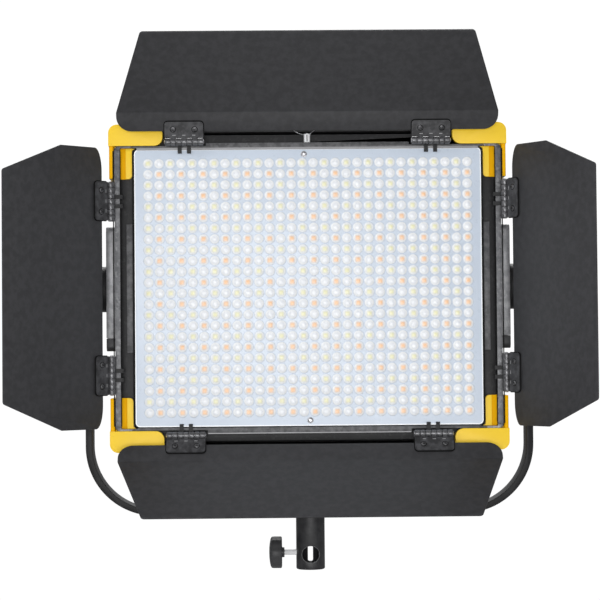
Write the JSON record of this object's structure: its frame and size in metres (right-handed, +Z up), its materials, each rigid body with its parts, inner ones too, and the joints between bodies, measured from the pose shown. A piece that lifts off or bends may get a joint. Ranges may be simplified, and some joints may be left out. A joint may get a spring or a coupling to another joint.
{
  "type": "led panel light",
  "caption": "Flat rectangular diode panel light with fold-out barn doors, corner bumpers, a tilting yoke and a stand socket with clamp screw.",
  "frame": {"origin": "centre of the stand socket's open mouth, on the socket's axis", "axes": "+Z up the socket's axis towards the yoke, -Y the way the diodes face at zero tilt, +X to the right seen from the front"},
  "size_m": [0.5278, 0.1821, 0.495],
  "materials": {
    "yoke_coat": "matt black powder coat",
    "fastener_steel": "blackened steel",
    "knob_plastic": "moulded, lightly grained",
    "chrome_steel": "polished",
    "door_coat": "fine matt black coat on sheet",
    "hinge_steel": "grey-black plated steel",
    "case_coat": "textured black coat",
    "rail_coat": "dark satin anodised",
    "block_satin": "grey satin",
    "bumper_yellow": "satin yellow, coloured through",
    "lens_acrylic": "frosted clear, domed lenses",
    "led_board": "white solder mask",
    "sink_aluminium": "bare extruded",
    "circuit_board": "green glass-epoxy board",
    "display_glass": "dark tinted window",
    "button_rubber": "soft matt",
    "switch_plastic": "moulded"
  },
  "bodies": {
    "stand": {"yoke_bracket": "yoke_coat", "stand_socket": "yoke_coat", "socket_bolt": "fastener_steel"},
    "panel": {"lens_plate": "lens_acrylic", "led_board": "led_board", "heatsink": "sink_aluminium", "front_bezel": "case_coat", "rear_housing": "case_coat", "driver_board": "circuit_board", "control_board": "circuit_board", "display_window": "display_glass", "power_inlet": "switch_plastic", "side_rail_left": "rail_coat", "side_rail_right": "rail_coat", "bumper_top_left": "bumper_yellow", "bumper_top_right": "bumper_yellow", "bumper_bottom_left": "bumper_yellow", "bumper_bottom_right": "bumper_yellow", "pivot_block_left": "block_satin", "pivot_block_right": "block_satin", "pivot_hub_left": "yoke_coat", "pivot_hub_right": "yoke_coat", "hinge_base_top_l": "hinge_steel", "hinge_pin_top_l": "hinge_steel", "hinge_base_top_r": "hinge_steel", "hinge_pin_top_r": "hinge_steel", "hinge_base_bottom_l": "hinge_steel", "hinge_pin_bottom_l": "hinge_steel", "hinge_base_bottom_r": "hinge_steel", "hinge_pin_bottom_r": "hinge_steel", "hinge_base_left_u": "hinge_steel", "hinge_pin_left_u": "hinge_steel", "hinge_base_left_d": "hinge_steel", "hinge_pin_left_d": "hinge_steel", "hinge_base_right_u": "hinge_steel", "hinge_pin_right_u": "hinge_steel", "hinge_base_right_d": "hinge_steel", "hinge_pin_right_d": "hinge_steel"},
    "clamp": {"clamp_knob": "knob_plastic", "clamp_screw": "chrome_steel"},
    "tilt_knob_left": {"tilt_knob_left": "knob_plastic"},
    "tilt_knob_right": {"tilt_knob_right": "knob_plastic"},
    "dimmer": {"dimmer_knob": "knob_plastic"},
    "colour": {"colour_knob": "knob_plastic"},
    "menu": {"menu_button": "button_rubber"},
    "mode": {"mode_button": "button_rubber"},
    "power": {"power_switch": "switch_plastic"},
    "latch": {"latch_pin": "chrome_steel"},
    "door_top": {"door_top": "door_coat", "hinge_plate_top_l": "door_coat", "hinge_plate_top_r": "door_coat"},
    "door_bottom": {"door_bottom": "door_coat", "hinge_plate_bottom_l": "door_coat", "hinge_plate_bottom_r": "door_coat"},
    "door_left": {"door_left": "door_coat", "hinge_plate_left_u": "door_coat", "hinge_plate_left_d": "door_coat"},
    "door_right": {"door_right": "door_coat", "hinge_plate_right_u": "door_coat", "hinge_plate_right_d": "door_coat"}
  },
  "joints": [
    {"name": "panel_tilt", "type": "hinge", "parent": "stand", "child": "panel", "pos_m": [0, 0, 0.265], "axis": [1, 0, 0], "range_deg": [-90, 15]},
    {"name": "door_top_hinge", "type": "hinge", "parent": "panel", "child": "door_top", "pos_m": [0, -0.0365, 0.4009], "axis": [1, 0, 0], "range_deg": [-21, 139]},
    {"name": "door_bottom_hinge", "type": "hinge", "parent": "panel", "child": "door_bottom", "pos_m": [0, -0.0365, 0.1278], "axis": [-1, 0, 0], "range_deg": [-38.3, 121.7]},
    {"name": "door_left_hinge", "type": "hinge", "parent": "panel", "child": "door_left", "pos_m": [-0.1835, -0.035, 0.265], "axis": [0, 0, 1], "range_deg": [-45.8, 134.2]},
    {"name": "door_right_hinge", "type": "hinge", "parent": "panel", "child": "door_right", "pos_m": [0.1835, -0.035, 0.265], "axis": [0, 0, -1], "range_deg": [-57.4, 122.6]},
    {"name": "tilt_knob_left_turn", "type": "hinge", "parent": "stand", "child": "tilt_knob_left", "pos_m": [-0.21, 0, 0.265], "axis": [-1, 0, 0], "range_deg": [0, 360]},
    {"name": "tilt_knob_right_turn", "type": "hinge", "parent": "stand", "child": "tilt_knob_right", "pos_m": [0.21, 0, 0.265], "axis": [1, 0, 0], "range_deg": [0, 360]},
    {"name": "clamp_knob_turn", "type": "hinge", "parent": "stand", "child": "clamp", "pos_m": [-0.02, 0, 0.0158], "axis": [-1, 0, 0], "range_deg": [0, 360]},
    {"name": "dimmer_turn", "type": "hinge", "parent": "panel", "child": "dimmer", "pos_m": [-0.062, 0.027, 0.227], "axis": [0, 1, 0], "continuous": true},
    {"name": "colour_turn", "type": "hinge", "parent": "panel", "child": "colour", "pos_m": [0.062, 0.027, 0.227], "axis": [0, 1, 0], "continuous": true},
    {"name": "menu_press", "type": "slide", "parent": "panel", "child": "menu", "axis": [0, -1, 0], "range_m": [0, 0.0012], "stiffness_N_per_m": 500},
    {"name": "mode_press", "type": "slide", "parent": "panel", "child": "mode", "axis": [0, -1, 0], "range_m": [0, 0.0012], "stiffness_N_per_m": 500},
    {"name": "power_rock", "type": "hinge", "parent": "panel", "child": "power", "pos_m": [0.12, 0.02, 0.161], "axis": [1, 0, 0], "range_deg": [0, 9]},
    {"name": "latch_pull", "type": "slide", "parent": "panel", "child": "latch", "axis": [0, 0, 1], "range_m": [0, 0.004], "stiffness_N_per_m": 400}
  ]
}
